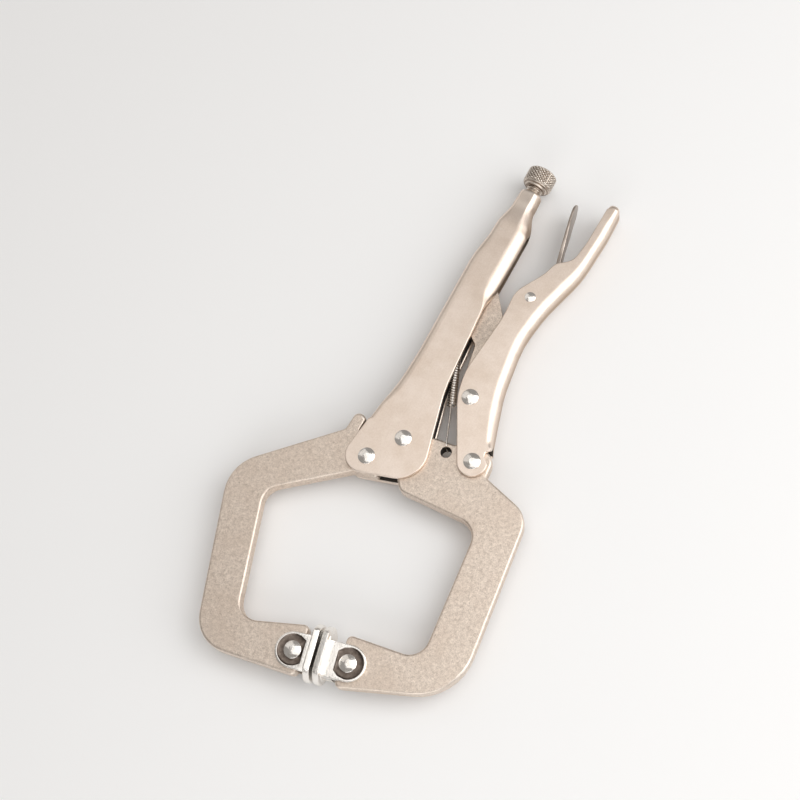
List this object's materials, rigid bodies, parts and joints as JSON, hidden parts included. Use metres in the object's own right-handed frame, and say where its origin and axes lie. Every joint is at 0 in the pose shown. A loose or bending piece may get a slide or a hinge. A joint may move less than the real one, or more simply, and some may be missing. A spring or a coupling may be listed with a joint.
{
  "type": "locking C-clamp pliers",
  "caption": "Locking C-clamp pliers with swivel pads, a toggle link, a release lever, a tension spring and a knurled adjusting screw",
  "frame": {"origin": "middle of the gap between the two clamping faces, on the middle plane of the jaw plates", "axes": "+Y along the adjusting screw towards its knob, +Z along the rivets, +X from the fixed handle towards the lever"},
  "size_m": [0.1418, 0.2787, 0.02],
  "materials": {
    "blasted_nickel": "nickel plated over a blasted surface, fine matt grain",
    "satin_nickel": "nickel plated, satin",
    "bright_nickel": "nickel plated, bright",
    "spring_steel": "drawn wire, plated"
  },
  "bodies": {
    "handle": {"fixed_handle": "satin_nickel", "fixed_jaw": "blasted_nickel", "fixed_jaw_rivet": "bright_nickel", "jaw_pivot_rivet": "bright_nickel", "tension_spring": "spring_steel"},
    "moving_jaw": {"moving_jaw": "blasted_nickel"},
    "lever": {"lever_handle": "satin_nickel", "lever_jaw_rivet": "bright_nickel", "link_rivet": "bright_nickel", "release_lever_rivet": "bright_nickel"},
    "link": {"toggle_link": "blasted_nickel"},
    "release_lever": {"release_lever": "satin_nickel"},
    "screw": {"adjusting_screw": "bright_nickel"},
    "fixed_pad": {"fixed_pad": "bright_nickel", "fixed_pad_rivet": "bright_nickel"},
    "moving_pad": {"moving_pad": "bright_nickel", "moving_pad_rivet": "bright_nickel"}
  },
  "joints": [
    {"name": "jaw_swing", "type": "hinge", "parent": "handle", "child": "moving_jaw", "pos_m": [-0.0145, 0.106, 0], "axis": [0, 0, 1], "range_deg": [0, 23], "deforming": ["tension_spring"]},
    {"name": "lever_swing", "type": "hinge", "parent": "moving_jaw", "child": "lever", "pos_m": [0.0195, 0.11, 0], "axis": [0, 0, 1], "range_deg": [-78, 0]},
    {"name": "link_swing", "type": "hinge", "parent": "lever", "child": "link", "pos_m": [0.004, 0.1375, 0], "axis": [0, 0, 1], "range_deg": [0, 78]},
    {"name": "release_swing", "type": "hinge", "parent": "lever", "child": "release_lever", "pos_m": [0.006, 0.195, 0], "axis": [0, 0, 1], "range_deg": [-12, 0]},
    {"name": "screw_travel", "type": "slide", "parent": "handle", "child": "screw", "axis": [0, 1, 0], "range_m": [0, 0.02]},
    {"name": "fixed_pad_swivel", "type": "hinge", "parent": "handle", "child": "fixed_pad", "pos_m": [-0.01113, -0.00267, 0], "axis": [0, 0, 1], "range_deg": [-4, 4]},
    {"name": "moving_pad_swivel", "type": "hinge", "parent": "moving_jaw", "child": "moving_pad", "pos_m": [0.01405, 0.00337, 0], "axis": [0, 0, 1], "range_deg": [-4, 4]}
  ],
  "couplings": [
    {"joint": "lever_swing", "follows": "jaw_swing", "ratio": -3.37},
    {"joint": "link_swing", "follows": "jaw_swing", "ratio": 3.37}
  ]
}
